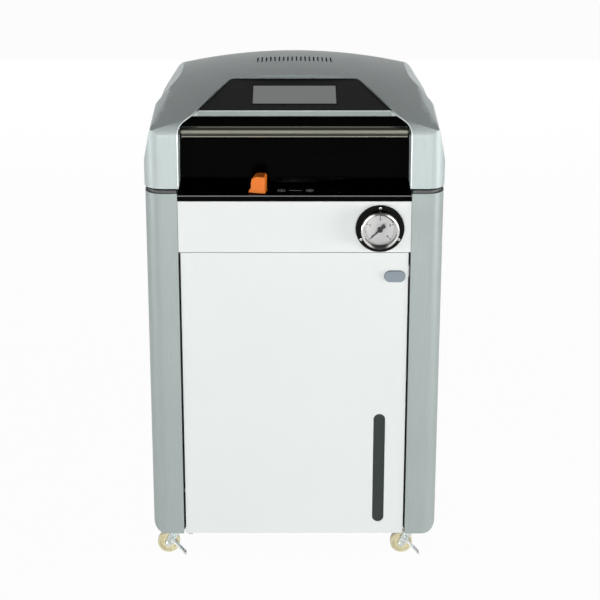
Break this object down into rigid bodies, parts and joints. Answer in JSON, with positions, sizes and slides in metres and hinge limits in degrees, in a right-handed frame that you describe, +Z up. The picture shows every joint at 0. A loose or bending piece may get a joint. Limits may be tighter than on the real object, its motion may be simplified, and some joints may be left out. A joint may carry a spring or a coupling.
{
  "type": "vertical autoclave",
  "caption": "Top-loading steriliser on casters: silver side panels, white front door with level slot, round gauge, and a hinged crowned lid with touch panel, grab bar and bayonet lock lever.",
  "frame": {"origin": "centre of the bounding box at floor level, under the wheels", "axes": "+Z up, -Y to the front with the door and gauge, +X to the right seen from the front"},
  "size_m": [0.48, 0.634, 0.799],
  "materials": {
    "silver_paint": "fine metallic, satin",
    "lid_silver": "fine metallic, satin",
    "white_paint": "smooth powder coat",
    "black_gloss": "polished",
    "black_matte": "fine grain",
    "polished_steel": "polished",
    "brushed_steel": "brushed",
    "zinc_plate": "zinc plated",
    "dark_steel": "satin",
    "insulation": "woven sheath",
    "brass": "turned",
    "clear_glass": "clear",
    "bottle_plastic": "translucent",
    "window_plastic": "smoked",
    "dial_white": "printed",
    "needle_black": "matt",
    "screen_glass": "matt glass",
    "lever_orange": "satin",
    "lever_red": "satin",
    "button_grey": "satin",
    "gasket_rubber": "smooth",
    "wheel_nylon": "moulded"
  },
  "bodies": {
    "cabinet": {"base_frame": "dark_steel", "side_panel_left": "silver_paint", "side_panel_right": "silver_paint", "rear_panel": "silver_paint", "top_deck": "black_matte", "front_upper_panel": "white_paint", "gauge_case": "black_matte", "gauge_bezel": "polished_steel", "gauge_dial": "dial_white", "gauge_glass": "clear_glass", "chamber": "brushed_steel", "chamber_jacket": "insulation", "heater_element": "dark_steel", "chamber_rack": "brushed_steel", "wire_basket": "brushed_steel", "drain_valve": "brass", "drain_pipe": "brushed_steel", "exhaust_bottle": "bottle_plastic", "exhaust_bottle_cap": "black_matte", "exhaust_pipe": "brushed_steel", "safety_valve": "brass", "control_box": "dark_steel", "fan_frame": "black_matte", "cord_gland": "black_matte", "hinge_brackets": "dark_steel", "hinge_pin": "polished_steel", "ring_guides": "black_matte", "door_hinge_pins": "dark_steel", "latch_keeper": "zinc_plate", "caster_plates": "zinc_plate"},
    "lid": {"lid_shell": "lid_silver", "lid_front_cover": "black_gloss", "control_panel": "black_gloss", "touch_screen": "screen_glass", "grab_bar": "polished_steel", "lid_frame": "dark_steel", "pressure_lid": "brushed_steel", "lid_gasket": "gasket_rubber", "lid_base_cover": "black_matte"},
    "ring": {"lock_ring": "brushed_steel", "ring_retainer": "brushed_steel", "lever_arm": "dark_steel", "lock_lever": "lever_orange"},
    "door": {"front_door": "white_paint", "level_window": "window_plastic", "door_latch": "black_matte"},
    "button": {"push_button": "button_grey"},
    "needle": {"gauge_needle": "needle_black"},
    "valve_lever": {"drain_lever": "lever_red"},
    "fan": {"fan_rotor": "black_matte"},
    "fork_front_left": {"caster_fork_front_left": "zinc_plate"},
    "wheel_front_left": {"caster_wheel_front_left": "wheel_nylon"},
    "fork_front_right": {"caster_fork_front_right": "zinc_plate"},
    "wheel_front_right": {"caster_wheel_front_right": "wheel_nylon"},
    "fork_rear_left": {"caster_fork_rear_left": "zinc_plate"},
    "wheel_rear_left": {"caster_wheel_rear_left": "wheel_nylon"},
    "fork_rear_right": {"caster_fork_rear_right": "zinc_plate"},
    "wheel_rear_right": {"caster_wheel_rear_right": "wheel_nylon"},
    "pedal_left": {"brake_pedal_left": "zinc_plate"},
    "pedal_right": {"brake_pedal_right": "zinc_plate"}
  },
  "joints": [
    {"name": "lid_hinge", "type": "hinge", "parent": "cabinet", "child": "lid", "pos_m": [0, 0.31, 0.65675], "axis": [-1, 0, 0], "range_deg": [0, 80]},
    {"name": "lock_ring_turn", "type": "hinge", "parent": "cabinet", "child": "ring", "pos_m": [0, -0.02, 0.6], "axis": [0, 0, 1], "range_deg": [0, 26]},
    {"name": "door_hinge", "type": "hinge", "parent": "cabinet", "child": "door", "pos_m": [-0.176, -0.2905, 0.05], "axis": [0, 0, -1], "range_deg": [0, 100]},
    {"name": "push_button_slide", "type": "slide", "parent": "door", "child": "button", "axis": [0, 1, 0], "range_m": [0, 0.003], "stiffness_N_per_m": 400, "springref_m": -0.001},
    {"name": "gauge_needle_turn", "type": "hinge", "parent": "cabinet", "child": "needle", "pos_m": [0.1366, -0.307, 0.5951], "axis": [0, 1, 0], "range_deg": [0, 270]},
    {"name": "drain_lever_turn", "type": "hinge", "parent": "cabinet", "child": "valve_lever", "pos_m": [-0.13, -0.232, 0.12], "axis": [0, 0, 1], "range_deg": [0, 90]},
    {"name": "fan_spin", "type": "hinge", "parent": "cabinet", "child": "fan", "pos_m": [0, 0.285, 0.128], "axis": [0, 1, 0], "continuous": true},
    {"name": "swivel_front_left", "type": "hinge", "parent": "cabinet", "child": "fork_front_left", "pos_m": [-0.199, -0.27, 0.04], "axis": [0, 0, 1], "continuous": true},
    {"name": "wheel_spin_front_left", "type": "hinge", "parent": "fork_front_left", "child": "wheel_front_left", "pos_m": [-0.215, -0.27, 0.019], "axis": [0, 1, 0], "continuous": true},
    {"name": "swivel_front_right", "type": "hinge", "parent": "cabinet", "child": "fork_front_right", "pos_m": [0.199, -0.27, 0.04], "axis": [0, 0, 1], "continuous": true},
    {"name": "wheel_spin_front_right", "type": "hinge", "parent": "fork_front_right", "child": "wheel_front_right", "pos_m": [0.183, -0.27, 0.019], "axis": [0, 1, 0], "continuous": true},
    {"name": "swivel_rear_left", "type": "hinge", "parent": "cabinet", "child": "fork_rear_left", "pos_m": [-0.199, 0.27, 0.04], "axis": [0, 0, 1], "continuous": true},
    {"name": "wheel_spin_rear_left", "type": "hinge", "parent": "fork_rear_left", "child": "wheel_rear_left", "pos_m": [-0.215, 0.27, 0.019], "axis": [0, 1, 0], "continuous": true},
    {"name": "swivel_rear_right", "type": "hinge", "parent": "cabinet", "child": "fork_rear_right", "pos_m": [0.199, 0.27, 0.04], "axis": [0, 0, 1], "continuous": true},
    {"name": "wheel_spin_rear_right", "type": "hinge", "parent": "fork_rear_right", "child": "wheel_rear_right", "pos_m": [0.183, 0.27, 0.019], "axis": [0, 1, 0], "continuous": true},
    {"name": "pedal_left_press", "type": "hinge", "parent": "fork_front_left", "child": "pedal_left", "pos_m": [-0.207, -0.27, 0.03], "axis": [0, -1, 0], "range_deg": [0, 30]},
    {"name": "pedal_right_press", "type": "hinge", "parent": "fork_front_right", "child": "pedal_right", "pos_m": [0.191, -0.27, 0.03], "axis": [0, -1, 0], "range_deg": [0, 30]}
  ]
}
